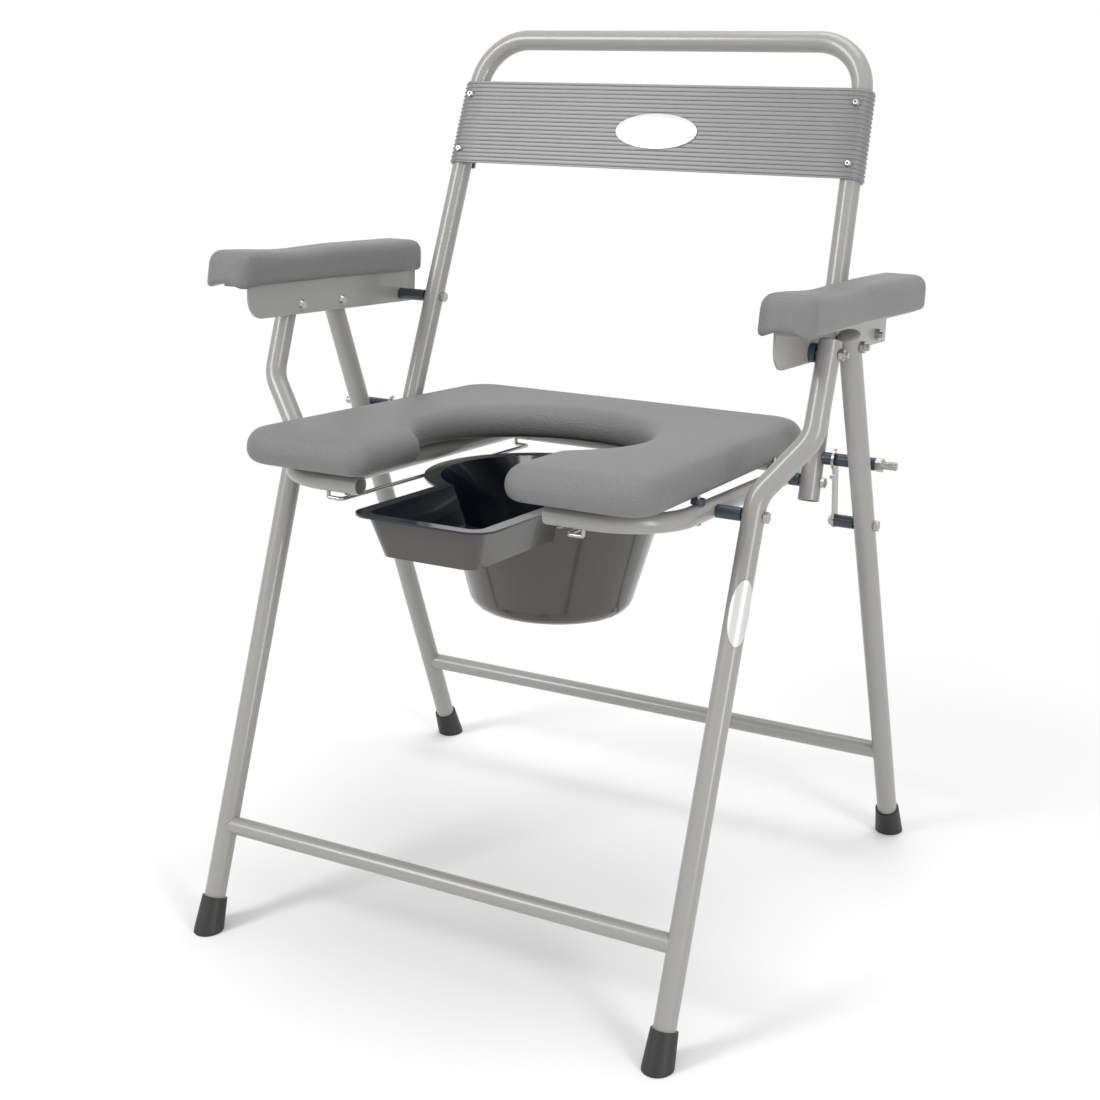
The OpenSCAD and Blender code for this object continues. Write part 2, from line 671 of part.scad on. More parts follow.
pad_front_at = -seat_front - seat_pad_nose;
pad_back_at = seat_back_at + seat_pad_back;
pad_corner_r = 34;
pad_rear_r = 44;
lobe_r = 22;
lip_r = 20;
lip_at = sqrt(pow(hole_r + lip_r, 2) - pow(slot_x + lip_r, 2));
lip_turn = atan2(lip_at, slot_x + lip_r);

// Seat pad outline: a horseshoe whose round hole opens forwards through a slot
seat_pad_arcs = [
    [[slot_x + lobe_r, pad_front_at + lobe_r], lobe_r, 180, 270],
    [[seat_pad_front_x - pad_corner_r, pad_front_at + pad_corner_r], pad_corner_r, 270, 360],
    [[seat_pad_rear_x - pad_rear_r, pad_back_at - pad_rear_r], pad_rear_r, 0, 90],
    [[-seat_pad_rear_x + pad_rear_r, pad_back_at - pad_rear_r], pad_rear_r, 90, 180],
    [[-seat_pad_front_x + pad_corner_r, pad_front_at + pad_corner_r], pad_corner_r, 180, 270],
    [[-slot_x - lobe_r, pad_front_at + lobe_r], lobe_r, 270, 360],
    [[-slot_x - lip_r, hole_at - lip_at], lip_r, 0, lip_turn],
    [[0, hole_at], hole_r, 180 + lip_turn, -lip_turn],
    [[slot_x + lip_r, hole_at - lip_at], lip_r, 180 - lip_turn, 180]
];

// The horseshoe's flat faces: a convex patch for each lobe and corner, and fans between the hole and the outside
hole_first = first(seat_pad_arcs, 7);
hole_last = last(seat_pad_arcs, 7);
function on_hole(part) = round(hole_first + part * (hole_last - hole_first));
function end_of(k) = last(seat_pad_arcs, k);
function start_of(k) = first(seat_pad_arcs, k);
seat_pad_cap = [
    [end_of(8), each all_of(seat_pad_arcs, 0), each all_of(seat_pad_arcs, 1)],
    each fan(end_of(1), on_hole(0.83), end_of(8)),
    [end_of(1), start_of(2), on_hole(0.83)],
    each fan(start_of(2), on_hole(0.67), on_hole(0.83)),
    [on_hole(0.67), each all_of(seat_pad_arcs, 2)],
    each fan(end_of(2), on_hole(0.5), on_hole(0.67)),
    [end_of(2), start_of(3), on_hole(0.5)],
    each fan(start_of(3), on_hole(0.33), on_hole(0.5)),
    [on_hole(0.33), each all_of(seat_pad_arcs, 3)],
    each fan(end_of(3), on_hole(0.17), on_hole(0.33)),
    [end_of(3), start_of(4), on_hole(0.17)],
    each fan(start_of(4), start_of(6), on_hole(0.17)),
    [start_of(6), each all_of(seat_pad_arcs, 4), each all_of(seat_pad_arcs, 5)]
];

module seat_pad() color(pad_grey) difference() {
    on_link(seat_front_pivot) translate([0, 0, pad_low])
        pad(seat_pad_arcs, seat_pad_t, seat_pad_under_r, seat_pad_edge_r, 5, seat_pad_cap);
    seat_fixing_places() cylinder(h = pad_low + pad_screw_depth, r = screw_r + slip, $fn = 16);
}

// ---- seat pivots ----

seat_tube_out = seat_side_x + bar_r + head_gap;
seat_tube_in = seat_side_x - bar_r - head_gap;
front_leg_low_out = front_leg_x + tube_r + head_gap;
back_in = back_x(0) - back_side - back_gap;
back_out = back_x(0) + back_side + back_gap;

module seat_front_bolts() color(zinc) both() place(seat_front_pivot) {
    across(seat_tube_in - bolt_head_h - 2, front_leg_low_out, bolt_r);
    across(front_leg_low_out, front_leg_low_out + bolt_head_h, bolt_hex_r, 6);
}
module seat_front_sleeves() color(sleeve_blue) both() place(seat_front_pivot)
    sleeve(seat_tube_out, front_leg_x - tube_r - head_gap, sleeve_r, bolt_r + slip);
module seat_front_nuts() color(zinc) both() place(seat_front_pivot)
    nut(seat_tube_in - bolt_head_h, seat_tube_in, bolt_hex_r, bolt_r + slip);

module seat_rear_bolts() color(zinc) both() place(seat_back_pivot) {
    across(seat_tube_in, back_out + bolt_head_h + 1, bolt_r);
    across(seat_tube_in - bolt_head_h, seat_tube_in, bolt_hex_r, 6);
}
module seat_rear_sleeves() color(sleeve_blue) both() place(seat_back_pivot)
    sleeve(seat_tube_out, back_in, sleeve_r, running_r);
module seat_rear_nuts() color(zinc) both() place(seat_back_pivot)
    nut(back_out, back_out + bolt_head_h, bolt_hex_r, bolt_r + slip);

// ---- lock rods and hooks ----

rod_s = rod_from_pivot;
rod_sleeve_in = back_x(rod_s) + back_side + back_gap;
rod_sleeve_out = rear_leg_x + tube_r + 2 * head_gap;
rod_head_x = back_x(rod_s) - back_side - back_gap;

module lock_rods() color(zinc) both() place(rod) {
    across(rod_head_x, rod_sleeve_out + rod_end, rod_d / 2);
    across(rod_head_x - rod_nut_h, rod_head_x, rod_hex_r, 6);
}
module lock_rod_sleeves() color(sleeve_blue) both() place(rod)
    sleeve(rod_sleeve_in, rod_sleeve_out, sleeve_r, rod_d / 2 + slip);
module lock_rod_nuts() color(zinc) both() place(rod)
    nut(rod_sleeve_out + head_gap, rod_sleeve_out + head_gap + rod_nut_h, rod_hex_r, rod_d / 2 + slip);

hook_in = hook_x - hook_t / 2;
hook_out = hook_x + hook_t / 2;
stud_nut_h = bolt_head_h * 0.9;

module hook_studs() color(zinc) both() place(stud) {
    across(hook_in - head_gap - stud_nut_h - 1, rear_leg_out, bolt_r);
    across(rear_leg_out, rear_leg_out + bolt_head_h, bolt_hex_r, 6);
}
module hook_stud_sleeves() color(sleeve_blue) both() place(stud)
    sleeve(hook_out + head_gap, rear_leg_x - tube_r - head_gap, sleeve_r, bolt_r + slip);
module hook_stud_nuts() color(zinc) both() place(stud)
    nut(hook_in - head_gap - stud_nut_h, hook_in - head_gap, bolt_hex_r, bolt_r + slip);

throat_r = sleeve_r + 1.7;
jaw_t = 3;
jaw_reach = 1.5;
tab_r = 5;

// Hook outline: x forwards, y from the stud up to the rod; the throat opens backwards
module hook_outline() difference() {
    union() {
        circle(r = hook_w / 2 + 1.5);
        translate([-hook_w / 2, 0]) square([hook_w, hook_l - throat_r]);
        translate([0, hook_l]) circle(r = throat_r + jaw_t);
        translate([hook_w / 2 + tab_r - 2, hook_l - throat_r - tab_r]) difference() {
            circle(r = tab_r);
            circle(r = tab_r - 2);
            translate([-tab_r, 0]) square([2 * tab_r, tab_r]);
        }
    }
    translate([0, hook_l]) circle(r = throat_r);
    translate([-2 * hook_w, hook_l - throat_r]) square([2 * hook_w, throat_r]);
    translate([-2 * hook_w, hook_l]) square([2 * hook_w - jaw_reach, 2 * throat_r]);
    circle(r = running_r);
}

module lock_hook() color(zinc) leaning(stud, -hook_lean) translate([hook_in, 0, 0])
    rotate([90, 0, 90]) linear_extrude(height = hook_t) mirror([1, 0, 0]) hook_outline();

module lock_hook_left() left() lock_hook();
module lock_hook_right() lock_hook();

// ---- pail ----

bowl_side_lean = atan((bowl_r - bowl_floor_r) / bowl_depth);
trough_front = bowl_at - trough_reach;

// Bowl turned round its axis, with a rounded edge at the floor
module bowl(grow, depth) {
    edge_r = bowl_edge_r + grow;
    edge_mid = [bowl_floor_r + grow - edge_r * tan(45 - bowl_side_lean / 2), edge_r - depth];
    edge = [for (i = [0:arc_steps]) let (turn = 270 + (90 - bowl_side_lean) * i / arc_steps)
        edge_mid + edge_r * [cos(turn), sin(turn)]];
    translate([0, bowl_at, rim_top]) rotate_extrude($fn = 96)
        polygon([[0, 0], [0, -depth], each edge, [bowl_r + grow, 0]]);
}

// Trough seen from above: round front corners, and open to the middle of the bowl
module trough_plan(grow, corner_r) {
    half_w = trough_x + grow;
    front = trough_front - grow;
    translate([corner_r - half_w, front]) square([2 * (half_w - corner_r), corner_r]);
    translate([-half_w, front + corner_r]) square([2 * half_w, bowl_at - front - corner_r]);
    for (side = [-1, 1]) translate([side * (half_w - corner_r), front + corner_r])
        circle(r = corner_r, $fn = 24);
}

// Tapered box of the trough: full size at the top, drawn in by the draft at the floor
module trough(grow, depth) hull() {
    translate([0, 0, rim_top]) linear_extrude(height = 0.01) trough_plan(grow, trough_corner_r + grow);
    translate([0, 0, rim_top - depth]) linear_extrude(height = 0.01)
        trough_plan(grow - trough_draft, trough_corner_r + grow);
}

module pail() color(pail_black) on_link(seat_front_pivot) difference() {
    union() {
        bowl(0, bowl_depth);
        trough(0, trough_depth);
        translate([0, bowl_at, rim_top - pail_wall]) cylinder(h = pail_wall, r = bowl_r + rim_w, $fn = 96);
        translate([0, 0, rim_top - pail_wall]) linear_extrude(height = pail_wall)
            trough_plan(trough_rim, trough_corner_r + trough_rim);
    }
    translate([0, 0, 0.01]) bowl(-pail_wall, bowl_depth - pail_wall);
    translate([0, 0, 0.01]) trough(-pail_wall, trough_depth - pail_wall);
}

// ---- every node by name ----

front_leg_left();
front_leg_right();
front_crossbar();
front_foot_left();
front_foot_right();
rear_leg_left();
rear_leg_right();
rear_crossbar();
rear_foot_left();
rear_foot_right();
backrest_tube();
back_strap();
strap_screws();
arm_bracket_left();
arm_bracket_right();
arm_pad_left();
arm_pad_right();
arm_front_bolts();
arm_front_washers();
arm_front_nuts();
arm_rear_bolts();
arm_rear_washers();
arm_rear_nuts();
back_pivot_bolts();
back_pivot_sleeves();
back_pivot_nuts();
seat_frame_tube();
seat_inner_tubes();
pail_rails();
seat_pad();
pad_spacers();
pad_screws();
seat_front_bolts();
seat_front_sleeves();
seat_front_nuts();
seat_rear_bolts();
seat_rear_sleeves();
seat_rear_nuts();
lock_rods();
lock_rod_sleeves();
lock_rod_nuts();
hook_studs();
hook_stud_sleeves();
hook_stud_nuts();
lock_hook_left();
lock_hook_right();
pail();
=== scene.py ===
"""A folding commode chair dressed for its studio picture: camera, light, finishes, pads, strap and trim."""

import json
import math

import bmesh
import bpy
from mathutils import Matrix, Vector, kdtree


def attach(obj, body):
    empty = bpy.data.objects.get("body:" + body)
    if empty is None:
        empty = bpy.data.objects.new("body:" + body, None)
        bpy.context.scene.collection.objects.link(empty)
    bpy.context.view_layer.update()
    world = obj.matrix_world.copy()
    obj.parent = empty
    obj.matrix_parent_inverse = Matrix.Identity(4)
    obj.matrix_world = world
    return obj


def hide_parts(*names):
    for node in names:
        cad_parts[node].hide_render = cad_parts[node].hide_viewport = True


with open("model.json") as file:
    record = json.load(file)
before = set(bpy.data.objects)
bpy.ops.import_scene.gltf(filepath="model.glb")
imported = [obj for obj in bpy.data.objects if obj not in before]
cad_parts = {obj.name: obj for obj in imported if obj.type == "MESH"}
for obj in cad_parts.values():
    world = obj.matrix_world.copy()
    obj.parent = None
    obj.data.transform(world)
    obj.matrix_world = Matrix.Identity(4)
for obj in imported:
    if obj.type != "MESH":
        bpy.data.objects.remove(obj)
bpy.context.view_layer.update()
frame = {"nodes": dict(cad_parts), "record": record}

MM = 0.001
SIDES = (("left", -1.0), ("right", 1.0))

# ---------------------------------------------------------------- places read from the record

JOINTS = {joint["name"]: joint for joint in frame["record"]["behaviour"]["joints"]}
MOUNTS = {mount["name"]: mount for mount in frame["record"]["mounts"]}
SLOT_OF = {part["node"]: part["material_slot"] for part in frame["record"]["subparts"]}


def joint_place(name):
    return Vector(JOINTS[name]["pos_m"])


ARM_FRONT = joint_place("fold")
ARM_BACK = joint_place("backrest_fold")
SEAT_FRONT = joint_place("seat_fold")
LINK = ARM_BACK - ARM_FRONT
LINK_TILT = math.atan2(-LINK.z, LINK.y)
SEAT_BACK = SEAT_FRONT + LINK
BACK_UP = (ARM_BACK - SEAT_BACK).normalized()
BACK_FORWARD = Vector((0.0, -BACK_UP.z, BACK_UP.y))
BACK_FRAME = Matrix.Translation(SEAT_BACK) @ Matrix(
    ((1.0, 0.0, 0.0), (0.0, BACK_UP.y, BACK_FORWARD.y), (0.0, BACK_UP.z, BACK_FORWARD.z))
).to_4x4()


def on_link(place):
    """Frame of the seat and the arms: y back along the link, z square to it."""
    return Matrix.Translation(place) @ Matrix.Rotation(-LINK_TILT, 4, "X")


def node_points(node, place=None):
    """The points of a CAD node, in the part's frame or in a frame of their own."""
    turn = (place or Matrix()).inverted()
    return [turn @ vertex.co for vertex in frame["nodes"][node].data.vertices]


def extent(points, axis):
    values = [point[axis] for point in points]
    return min(values), max(values)


def corners_on_link(node, place):
    """Lowest and highest corner of a CAD node in the frame of the link."""
    points = node_points(node, on_link(place))
    return [Vector(limit(point[axis] for point in points) for axis in range(3)) for limit in (min, max)]


# ---------------------------------------------------------------- camera

CAMERA_PLACE = Vector((0.82779, -1.49669, 0.94327))
CAMERA_YAW = math.radians(28.91)
CAMERA_PITCH = math.radians(18.27)
CAMERA_ROLL = math.radians(-0.65)
CAMERA_LENS = 55.95
CAMERA_SENSOR = 36.0


def add_camera():
    data = bpy.data.cameras.new("camera")
    data.lens = CAMERA_LENS
    data.sensor_width = CAMERA_SENSOR
    data.clip_end = 50.0
    camera = bpy.data.objects.new("camera", data)
    bpy.context.scene.collection.objects.link(camera)
    sin_yaw, cos_yaw = math.sin(CAMERA_YAW), math.cos(CAMERA_YAW)
    sin_pitch, cos_pitch = math.sin(CAMERA_PITCH), math.cos(CAMERA_PITCH)
    back = Vector((sin_yaw * cos_pitch, -cos_yaw * cos_pitch, sin_pitch))
    right = Vector((cos_yaw, sin_yaw, 0.0))
    up = back.cross(right)
    cos_roll, sin_roll = math.cos(CAMERA_ROLL), math.sin(CAMERA_ROLL)
    columns = (right * cos_roll + up * sin_roll, up * cos_roll - right * sin_roll, back, CAMERA_PLACE)
    rows = [[column[axis] for column in columns] for axis in range(3)]
    camera.matrix_world = Matrix(rows + [[0.0, 0.0, 0.0, 1.0]])
    bpy.context.scene.camera = camera


# ---------------------------------------------------------------- floor and light

WHITE = (1.0, 1.0, 1.0, 1.0)
WORLD_STRENGTH = 0.6
FLOOR_COLOR = (0.92, 0.92, 0.92, 1.0)
FLOOR_SIZE = 60.0
FLOOR_DROP = 0.5 * MM
FLOOR_NEAR = 0.5  # metres from the middle, where the floor starts to fade
FLOOR_FAR = 1.3
LIGHT_TARGET = (0.0, 0.0, 0.45)
LIGHTS = (  # name, place, width and height in metres, power in watts
    ("key", (-1.7, -2.4, 2.4), (0.9, 1.4), 54.0),
    ("fill", (2.8, -1.4, 1.3), (0.7, 2.0), 38.0),
    ("top", (0.2, 0.6, 3.2), (2.2, 1.6), 38.0),
)


def add_light(name, place, size, power):
    data = bpy.data.lights.new(name, "AREA")
    data.shape = "RECTANGLE"
    data.size, data.size_y = size
    data.energy = power
    light = bpy.data.objects.new(name, data)
    light.location = place
    light.rotation_euler = (Vector(LIGHT_TARGET) - Vector(place)).to_track_quat("-Z", "Y").to_euler()
    bpy.context.scene.collection.objects.link(light)


def seen_ray(tree):
    """1 for the rays by which the background is seen, straight or in metal and glass."""
    path = tree.nodes.new("ShaderNodeLightPath")
    total = path.outputs["Is Camera Ray"]
    for name in ("Is Glossy Ray", "Is Transmission Ray"):
        add = tree.nodes.new("ShaderNodeMath")
        add.operation = "ADD"
        add.use_clamp = True
        tree.links.new(total, add.inputs[0])
        tree.links.new(path.outputs[name], add.inputs[1])
        total = add.outputs["Value"]
    return total


def white_world():
    """Plain white behind the chair, and a dimmer even light all round it."""
    world = bpy.data.worlds.new("studio")
    world.use_nodes = True
    tree = world.node_tree
    around = tree.nodes["Background"]
    behind = tree.nodes.new("ShaderNodeBackground")
    for light, strength in ((around, WORLD_STRENGTH), (behind, 1.0)):
        light.inputs["Color"].default_value = WHITE
        light.inputs["Strength"].default_value = strength
    choice = tree.nodes.new("ShaderNodeMixShader")
    tree.links.new(seen_ray(tree), choice.inputs["Fac"])
    tree.links.new(around.outputs["Background"], choice.inputs[1])
    tree.links.new(behind.outputs["Background"], choice.inputs[2])
    tree.links.new(choice.outputs["Shader"], tree.nodes["World Output"].inputs["Surface"])
    return world


def far_share(tree):
    """0 on the floor near the chair, rising to 1 away from it."""
    place = tree.nodes.new("ShaderNodeTexCoord")
    distance = tree.nodes.new("ShaderNodeVectorMath")
    distance.operation = "LENGTH"
    fade = tree.nodes.new("ShaderNodeMapRange")
    fade.interpolation_type = "SMOOTHSTEP"
    fade.inputs["From Min"].default_value = FLOOR_NEAR
    fade.inputs["From Max"].default_value = FLOOR_FAR
    tree.links.new(place.outputs["Object"], distance.inputs[0])
    tree.links.new(distance.outputs["Value"], fade.inputs["Value"])
    return fade.outputs["Result"]


def white_floor():
    """A pale floor that takes the chair's shadow and fades to plain white away from it."""
    material, tree, shader = node_material("floor_white")
    shader.inputs["Base Color"].default_value = FLOOR_COLOR
    shader.inputs["Roughness"].default_value = 0.9
    shader.inputs["Specular IOR Level"].default_value = 0.1
    white = tree.nodes.new("ShaderNodeEmission")
    white.inputs["Color"].default_value = WHITE
    white.inputs["Strength"].default_value = 1.0
    both = tree.nodes.new("ShaderNodeMath")
    both.operation = "MULTIPLY"
    choice = tree.nodes.new("ShaderNodeMixShader")
    tree.links.new(far_share(tree), both.inputs[0])
    tree.links.new(seen_ray(tree), both.inputs[1])
    tree.links.new(both.outputs["Value"], choice.inputs["Fac"])
    tree.links.new(shader.outputs["BSDF"], choice.inputs[1])
    tree.links.new(white.outputs["Emission"], choice.inputs[2])
    tree.links.new(choice.outputs["Shader"], tree.nodes["Material Output"].inputs["Surface"])
    return material


def add_studio():
    scene = bpy.context.scene
    scene.view_settings.view_transform = "Standard"
    scene.view_settings.look = "None"
    scene.view_settings.exposure = 0.0
    scene.view_settings.gamma = 1.0
    scene.world = white_world()
    bpy.ops.mesh.primitive_plane_add(size=FLOOR_SIZE, location=(0.0, 0.0, -FLOOR_DROP))
    floor = bpy.context.object
    floor.name = "studio_floor"
    floor.data.materials.append(white_floor())
    for light in LIGHTS:
        add_light(*light)


# ---------------------------------------------------------------- materials

# Painted light on the pail: the outside colour is a painted reflection of the floor, the inside colour a
# painted shade.
PAIL_PAINTED_REFLECTION = (0.046, 0.043, 0.040, 1.0)
PAIL_PAINTED_SHADE = (0.005, 0.007, 0.013, 1.0)
PAIL_SHADE_CHANGE = (-0.12, 0.06)  # upward share of the normal over which one turns into the other


def node_material(name):
    material = bpy.data.materials.new(name)
    material.use_nodes = True
    return material, material.node_tree, material.node_tree.nodes["Principled BSDF"]


def add_grain(tree, shader, grain):
    """A fine bump; grain is (cells a metre, height in metres, strength)."""
    scale, height, strength = grain
    place = tree.nodes.new("ShaderNodeTexCoord")
    noise = tree.nodes.new("ShaderNodeTexNoise")
    noise.inputs["Scale"].default_value = scale
    noise.inputs["Detail"].default_value = 3.0
    noise.inputs["Roughness"].default_value = 0.55
    bump = tree.nodes.new("ShaderNodeBump")
    bump.inputs["Strength"].default_value = strength
    bump.inputs["Distance"].default_value = height
    tree.links.new(place.outputs["Object"], noise.inputs["Vector"])
    tree.links.new(noise.outputs["Fac"], bump.inputs["Height"])
    tree.links.new(bump.outputs["Normal"], shader.inputs["Normal"])


def finish(name, color, roughness, metallic=0.0, specular=0.5, coat=0.0, grain=None):
    """A finish of one colour, plain or with a grain."""
    material, tree, shader = node_material(name)
    shader.inputs["Base Color"].default_value = (*color, 1.0)
    shader.inputs["Roughness"].default_value = roughness
    shader.inputs["Metallic"].default_value = metallic
    shader.inputs["Specular IOR Level"].default_value = specular
    shader.inputs["Coat Weight"].default_value = coat
    if grain:
        add_grain(tree, shader, grain)
    return material


def pail_plastic_painted_light():
    """Glossy black plastic with painted light: a blue-black painted shade where it faces up and inwards, a
    greyer painted reflection of the floor on its outer sides.
    """
    material, tree, shader = node_material("pail_black")
    shader.inputs["Roughness"].default_value = 0.16
    shader.inputs["Specular IOR Level"].default_value = 0.5
    shader.inputs["Coat Weight"].default_value = 0.3
    place = tree.nodes.new("ShaderNodeTexCoord")
    parts = tree.nodes.new("ShaderNodeSeparateXYZ")
    upward = tree.nodes.new("ShaderNodeMapRange")
    upward.inputs["From Min"].default_value = PAIL_SHADE_CHANGE[0]
    upward.inputs["From Max"].default_value = PAIL_SHADE_CHANGE[1]
    painted_shading = tree.nodes.new("ShaderNodeMix")
    painted_shading.data_type = "RGBA"
    painted_shading.inputs["A"].default_value = PAIL_PAINTED_REFLECTION
    painted_shading.inputs["B"].default_value = PAIL_PAINTED_SHADE
    tree.links.new(place.outputs["Normal"], parts.inputs["Vector"])
    tree.links.new(parts.outputs["Z"], upward.inputs["Value"])
    tree.links.new(upward.outputs["Result"], painted_shading.inputs["Factor"])
    tree.links.new(painted_shading.outputs["Result"], shader.inputs["Base Color"])
    return material


def make_finishes():
    return {
        "frame_paint": finish("frame_paint", (0.285, 0.281, 0.269), 0.3, specular=0.5, coat=0.2,
                              grain=(900.0, 0.0001, 0.03)),
        "pad_grey": finish("pad_grey", (0.162, 0.162, 0.164), 0.44, specular=0.5,
                           grain=(560.0, 0.0016, 0.75)),
        "strap_grey": finish("strap_grey", (0.195, 0.195, 0.2), 0.34, specular=0.6,
                             grain=(500.0, 0.0003, 0.1)),
        "foot_rubber": finish("foot_rubber", (0.014, 0.014, 0.013), 0.5, grain=(800.0, 0.0004, 0.3)),
        "pail_black": pail_plastic_painted_light(),
        "sleeve_dark": finish("sleeve_dark", (0.035, 0.045, 0.06), 0.32),
        "plate_white": finish("plate_white", (0.60, 0.60, 0.59), 0.32, metallic=0.35),
        # rivet_hole: near-black painted shade for the hollows of the strap fixings.
        "rivet_hole": finish("rivet_hole", (0.04, 0.04, 0.04), 0.6),
        "zinc": finish("zinc", (0.42, 0.415, 0.40), 0.3, metallic=1.0, grain=(700.0, 0.0001, 0.05)),
    }


def dress(piece, material):
    piece.data.materials.clear()
    piece.data.materials.append(material)


# ---------------------------------------------------------------- meshes


def mesh_object(name, points, faces):
    mesh = bpy.data.meshes.new(name)
    mesh.from_pydata(points, [], faces)
    mesh.validate()
    obj = bpy.data.objects.new(name, mesh)
    bpy.context.scene.collection.objects.link(obj)
    return obj


def apply_modifiers(obj):
    """Replaces the mesh by what its modifiers make of it."""
    graph = bpy.context.evaluated_depsgraph_get()
    made = bpy.data.meshes.new_from_object(obj.evaluated_get(graph))
    obj.modifiers.clear()
    obj.data = made


def smooth(obj):
    for polygon in obj.data.polygons:
        polygon.use_smooth = True


def smooth_by_angle(obj, degrees):
    """Smooth shading with edges sharper than the angle kept hard."""
    smooth(obj)
    obj.data.set_sharp_from_angle(angle=math.radians(degrees))


def fix_normals(obj):
    work = bmesh.new()
    work.from_mesh(obj.data)
    bmesh.ops.recalc_face_normals(work, faces=work.faces)
    work.to_mesh(obj.data)
    work.free()


def circle(count):
    """Angles all the way round."""
    return [2 * math.pi * i / count for i in range(count)]


def band(low, top, count, turned=False):
    """Faces between two rings of points, each ring given by the index of its first point."""
    faces = []
    for i in range(count):
        follow = (i + 1) % count
        first, *others = (low + i, low + follow, top + follow, top + i)
        faces.append((first, *reversed(others)) if turned else (first, *others))
    return faces


def cap(rings, count):
    """Faces of a round cap: point 0 in the middle and rings of points outwards from it."""
    faces = [(0, 1 + i, 1 + (i + 1) % count) for i in range(count)]
    for ring in range(rings - 1):
        low = 1 + ring * count
        faces += band(low, low + count, count, turned=True)
    return faces


# ---------------------------------------------------------------- outlines and padded shapes

EDGE_STEP = 4 * MM
EDGE_ROUNDS = 6
RELAX_ROUNDS = 6


def arc_points(arc, inset, steps=10):
    """Points of an arc (centre, radius, start, end in degrees); a falling angle is a hollow corner."""
    (x, y), radius, start, end = arc
    radius = radius - inset if end > start else radius + inset
    count = max(2, math.ceil(steps * abs(end - start) / 90.0))
    angles = [math.radians(start + (end - start) * i / count) for i in range(count + 1)]
    return [(x + radius * math.cos(angle), y + radius * math.sin(angle)) for angle in angles]


def outline(arcs, inset=0.0):
    return [point for arc in arcs for point in arc_points(arc, inset)]


def spaced(points, step):
    """The closed outline with a point at least every step, for measuring how far the edge is."""
    out = []
    for (x0, y0), (x1, y1) in zip(points, points[1:] + points[:1]):
        count = max(1, math.ceil(math.hypot(x1 - x0, y1 - y0) / step))
        out += [(x0 + (x1 - x0) * i / count, y0 + (y1 - y0) * i / count) for i in range(count)]
    return out


def edge_distance(arcs):
    """A function of (x, y) that tells how far the outline is."""
    places = spaced(outline(arcs), EDGE_STEP)
    tree = kdtree.KDTree(len(places))
    for i, (x, y) in enumerate(places):
        tree.insert((x, y, 0.0), i)
    tree.balance()
    return lambda x, y: tree.find((x, y, 0.0))[2]


def slab_rings(thickness, low_r, top_r):
    """(inset, height) of the outlines that round a slab's lower and upper edge."""
    angles = [math.radians(90.0 * i / EDGE_ROUNDS) for i in range(EDGE_ROUNDS + 1)]
    low = [(low_r * (1 - math.sin(angle)), low_r * (1 - math.cos(angle))) for angle in angles]
    top = [(top_r * (1 - math.cos(angle)), thickness - top_r * (1 - math.sin(angle))) for angle in angles]
    return low + top


def padded_slab(name, arcs, thickness, low_r, top_r, voxel):
    """A slab with rounded edges on z = 0, remeshed to an even skin."""
    rings = slab_rings(thickness, low_r, top_r)
    count = len(outline(arcs))
    points = [(x, y, height) for inset, height in rings for x, y in outline(arcs, inset)]
    faces = [tuple(reversed(range(count)))]
    for ring in range(len(rings) - 1):
        faces += band(ring * count, (ring + 1) * count, count)
    faces.append(tuple((len(rings) - 1) * count + i for i in range(count)))
    obj = mesh_object(name, points, faces)
    remesh = obj.modifiers.new("even", "REMESH")
    remesh.mode = "VOXEL"
    remesh.voxel_size = voxel
    relax = obj.modifiers.new("relax", "SMOOTH")
    relax.factor = 0.5
    relax.iterations = RELAX_ROUNDS
    apply_modifiers(obj)
    smooth(obj)
    return obj


def place_pad(pad, place, body, node):
    """Puts a finished pad in the part: its body and the CAD node it stands for."""
    pad.data.transform(place)
    dress(pad, finishes["pad_grey"])
    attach(pad, body)
    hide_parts(node)


# ---------------------------------------------------------------- seat pad

HOLE_RADIUS = 118 * MM
HOLE_AT = 47 * MM
SLOT_HALF = 73 * MM
SEAT_FRONT_HALF = 225 * MM
SEAT_REAR_HALF = 214 * MM
SEAT_FRONT_CORNER = 34 * MM
SEAT_REAR_CORNER = 44 * MM
SEAT_LOBE = 22 * MM
SEAT_LIP = 20 * MM
SEAT_LOW_EDGE = 13 * MM
SEAT_TOP_EDGE = 18 * MM
SEAT_SKIN = 4 * MM
SEAT_CROWN = 2.5 * MM
SEAT_CROWN_RUN = 28 * MM
SEAT_CROWN_FROM = 0.4  # of the pad's height


def seat_pad_arcs(front, rear):
    corner, back, lobe, lip = SEAT_FRONT_CORNER, SEAT_REAR_CORNER, SEAT_LOBE, SEAT_LIP
    lip_rise = math.sqrt((HOLE_RADIUS + lip) ** 2 - (SLOT_HALF + lip) ** 2)
    lip_turn = math.degrees(math.atan2(lip_rise, SLOT_HALF + lip))
    lip_x, lip_y = SLOT_HALF + lip, HOLE_AT - lip_rise
    return [
        ((SLOT_HALF + lobe, front + lobe), lobe, 180, 270),
        ((SEAT_FRONT_HALF - corner, front + corner), corner, 270, 360),
        ((SEAT_REAR_HALF - back, rear - back), back, 0, 90),
        ((-SEAT_REAR_HALF + back, rear - back), back, 90, 180),
        ((-SEAT_FRONT_HALF + corner, front + corner), corner, 180, 270),
        ((-SLOT_HALF - lobe, front + lobe), lobe, 270, 360),
        ((-lip_x, lip_y), lip, 0, lip_turn),
        ((0.0, HOLE_AT), HOLE_RADIUS, 180 + lip_turn, -lip_turn),
        ((lip_x, lip_y), lip, 180 - lip_turn, 180),
    ]


